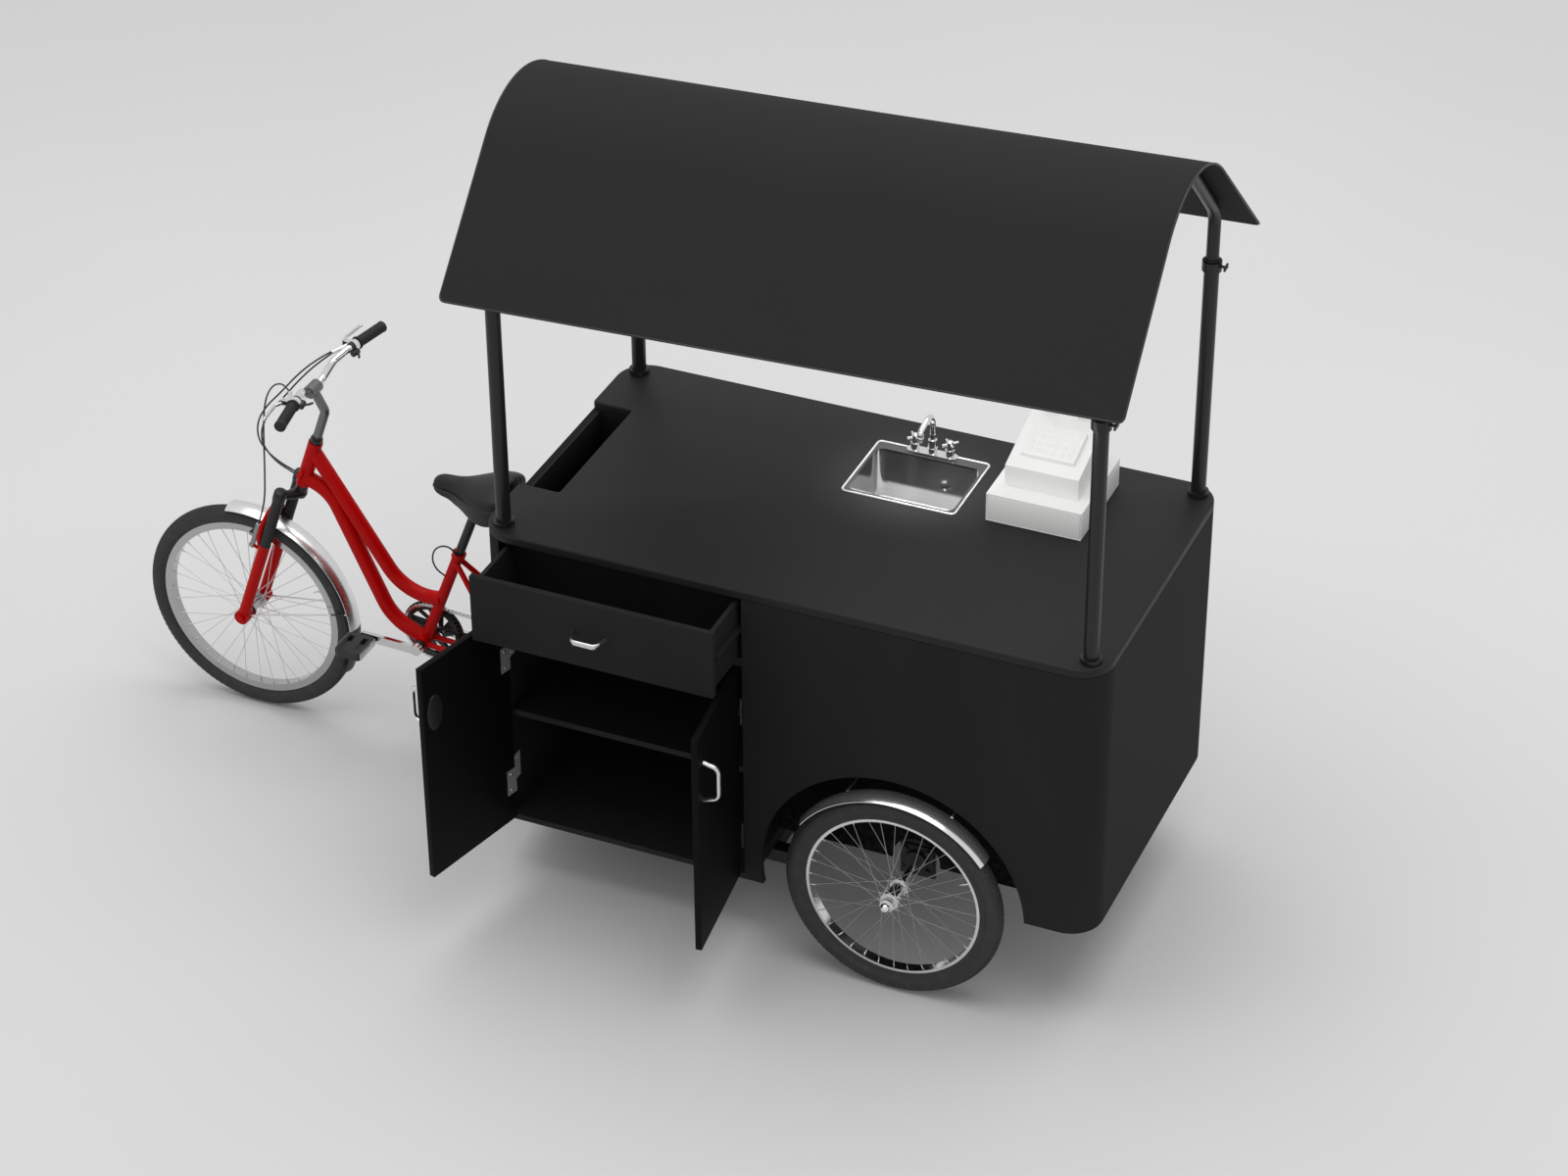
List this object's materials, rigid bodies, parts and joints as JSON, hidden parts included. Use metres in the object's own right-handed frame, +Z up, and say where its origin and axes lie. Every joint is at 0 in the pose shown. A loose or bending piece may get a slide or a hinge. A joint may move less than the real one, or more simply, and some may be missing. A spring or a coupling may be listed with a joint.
{
  "type": "juice cart",
  "caption": "Black street vending cart with cupboard, drawer, sink, till and curved canopy, on spoked rear wheels behind a red step-through bicycle front end.",
  "frame": {"origin": "on the floor, under the middle of the whole part's bounding box in its pictured pose", "axes": "+X from the bicycle's front wheel towards the rear of the cabinet, +Z up, cupboard side towards -Y"},
  "size_m": [3.1236, 1.3854, 2.3083],
  "materials": {
    "black_panel": "matt black lacquer",
    "black_sheet": "matt black",
    "black_paint": "satin black",
    "red_paint": "glossy red",
    "steel": "satin",
    "chrome": "polished",
    "rim_metal": "satin",
    "tyre": "matt",
    "white_case": "semi-gloss white",
    "tank_plastic": "translucent white",
    "black_plastic": "matt black",
    "grip_rubber": "matt black",
    "saddle_cover": "matt black"
  },
  "bodies": {
    "cart": {"counter_top": "black_panel", "near_side_panel": "black_panel", "far_side_panel": "black_panel", "front_panel": "black_panel", "rear_panel": "black_panel", "corner_columns": "black_panel", "floor_boards": "black_panel", "inner_partitions": "black_panel", "front_bin": "black_panel", "canopy_sheet": "black_sheet", "wheel_wells": "black_sheet", "canopy_posts": "black_paint", "canopy_hoops": "black_paint", "canopy_hardware": "black_paint", "chassis_frame": "black_paint", "rear_bearings": "black_paint", "bike_frame": "red_paint", "hinge_plates": "steel", "drawer_runners": "steel", "sink_basin": "steel", "chain": "steel", "faucet_body": "chrome", "rear_mudguards": "chrome", "till_case": "white_case", "till_keyboard": "white_case", "water_system": "tank_plastic", "control_cables": "black_plastic"},
    "drawer": {"drawer_front": "black_panel", "drawer_box": "black_panel", "drawer_handle": "steel"},
    "left_door": {"left_door": "black_panel", "left_door_hardware": "steel"},
    "right_door": {"right_door": "black_panel", "right_door_hardware": "steel"},
    "spout": {"faucet_spout": "chrome"},
    "tap_left": {"tap_handle_left": "chrome"},
    "tap_right": {"tap_handle_right": "chrome"},
    "cash_drawer": {"cash_drawer": "white_case"},
    "rear_drive": {"rear_axle": "steel", "far_rear_wheel": "rim_metal", "far_rear_tyre": "tyre"},
    "near_wheel": {"near_rear_wheel": "rim_metal", "near_rear_tyre": "tyre"},
    "crank": {"crankset": "black_paint"},
    "left_pedal": {"left_pedal": "black_plastic"},
    "right_pedal": {"right_pedal": "black_plastic"},
    "steering": {"fork_crown": "black_paint", "handlebar": "chrome", "grips": "grip_rubber", "front_brake_cable": "black_plastic"},
    "left_lever": {"left_brake_lever": "black_paint"},
    "right_lever": {"right_brake_lever": "black_paint"},
    "fork_slider": {"fork_legs": "red_paint", "front_mudguard": "chrome"},
    "left_arm": {"left_brake_arm": "black_paint"},
    "right_arm": {"right_brake_arm": "black_paint"},
    "front_wheel": {"front_wheel": "rim_metal", "front_tyre": "tyre"},
    "seat": {"seat_post": "steel", "saddle": "saddle_cover"}
  },
  "joints": [
    {"name": "drawer_slide", "type": "slide", "parent": "cart", "child": "drawer", "axis": [0, -1, 0], "range_m": [-0.17, 0.02]},
    {"name": "left_door_hinge", "type": "hinge", "parent": "cart", "child": "left_door", "pos_m": [-0.15403, -0.34731, 0.555], "axis": [0, 0, -1], "range_deg": [-104, 40]},
    {"name": "right_door_hinge", "type": "hinge", "parent": "cart", "child": "right_door", "pos_m": [0.53897, -0.34731, 0.555], "axis": [0, 0, 1], "range_deg": [-96.5, 40]},
    {"name": "spout_swivel", "type": "hinge", "parent": "cart", "child": "spout", "pos_m": [0.75297, 0.45819, 1.17], "axis": [0, 0, 1], "range_deg": [-60, 60]},
    {"name": "left_tap_turn", "type": "hinge", "parent": "cart", "child": "tap_left", "pos_m": [0.70297, 0.45819, 1.175], "axis": [0, 0, 1], "range_deg": [0, 90]},
    {"name": "right_tap_turn", "type": "hinge", "parent": "cart", "child": "tap_right", "pos_m": [0.80297, 0.45819, 1.175], "axis": [0, 0, -1], "range_deg": [0, 90]},
    {"name": "cash_drawer_slide", "type": "slide", "parent": "cart", "child": "cash_drawer", "axis": [0, -1, 0], "range_m": [0, 0.22]},
    {"name": "rear_drive_spin", "type": "hinge", "parent": "cart", "child": "rear_drive", "pos_m": [0.98497, 0.13269, 0.3075], "axis": [0, 1, 0], "continuous": true},
    {"name": "near_wheel_spin", "type": "hinge", "parent": "cart", "child": "near_wheel", "pos_m": [0.98497, -0.36831, 0.3075], "axis": [0, 1, 0], "continuous": true},
    {"name": "crank_spin", "type": "hinge", "parent": "cart", "child": "crank", "pos_m": [-0.66103, 0.13269, 0.366], "axis": [0, 1, 0], "continuous": true, "deforming": ["chain"]},
    {"name": "left_pedal_spin", "type": "hinge", "parent": "crank", "child": "left_pedal", "pos_m": [-0.82593, 0.01269, 0.37176], "axis": [0, 1, 0], "continuous": true},
    {"name": "right_pedal_spin", "type": "hinge", "parent": "crank", "child": "right_pedal", "pos_m": [-0.49613, 0.25269, 0.36024], "axis": [0, 1, 0], "continuous": true},
    {"name": "steering_turn", "type": "hinge", "parent": "cart", "child": "steering", "pos_m": [-1.02503, 0.13269, 0.803], "axis": [0.3338, 0, 0.9426], "range_deg": [-40, 40], "deforming": ["control_cables"]},
    {"name": "left_lever_squeeze", "type": "hinge", "parent": "steering", "child": "left_lever", "pos_m": [-0.9573, -0.04274, 1.184], "axis": [0, 0, 1], "range_deg": [0, 15], "stiffness_Nm_per_rad": 2, "springref_deg": -11.46},
    {"name": "right_lever_squeeze", "type": "hinge", "parent": "steering", "child": "right_lever", "pos_m": [-0.9573, 0.30812, 1.184], "axis": [0, 0, -1], "range_deg": [0, 15], "stiffness_Nm_per_rad": 2, "springref_deg": -11.46},
    {"name": "fork_suspension", "type": "slide", "parent": "steering", "child": "fork_slider", "axis": [0.3338, 0, 0.9426], "range_m": [0, 0.05], "stiffness_N_per_m": 15000, "springref_m": -0.04, "deforming": ["front_brake_cable"]},
    {"name": "left_arm_swing", "type": "hinge", "parent": "fork_slider", "child": "left_arm", "pos_m": [-1.18103, 0.08269, 0.58564], "axis": [-0.9426, 0, 0.3338], "range_deg": [0, 5]},
    {"name": "right_arm_swing", "type": "hinge", "parent": "fork_slider", "child": "right_arm", "pos_m": [-1.18103, 0.18269, 0.58564], "axis": [0.9426, 0, -0.3338], "range_deg": [0, 5]},
    {"name": "front_wheel_spin", "type": "hinge", "parent": "fork_slider", "child": "front_wheel", "pos_m": [-1.22841, 0.13269, 0.3335], "axis": [0, 1, 0], "continuous": true},
    {"name": "seat_height", "type": "slide", "parent": "cart", "child": "seat", "axis": [0.3605, 0, 0.9328], "range_m": [-0.08, 0.06]}
  ],
  "couplings": [
    {"joint": "crank_spin", "follows": "rear_drive_spin", "ratio": 0.5},
    {"joint": "left_arm_swing", "follows": "left_lever_squeeze", "ratio": 0.3},
    {"joint": "right_arm_swing", "follows": "left_lever_squeeze", "ratio": 0.3}
  ]
}
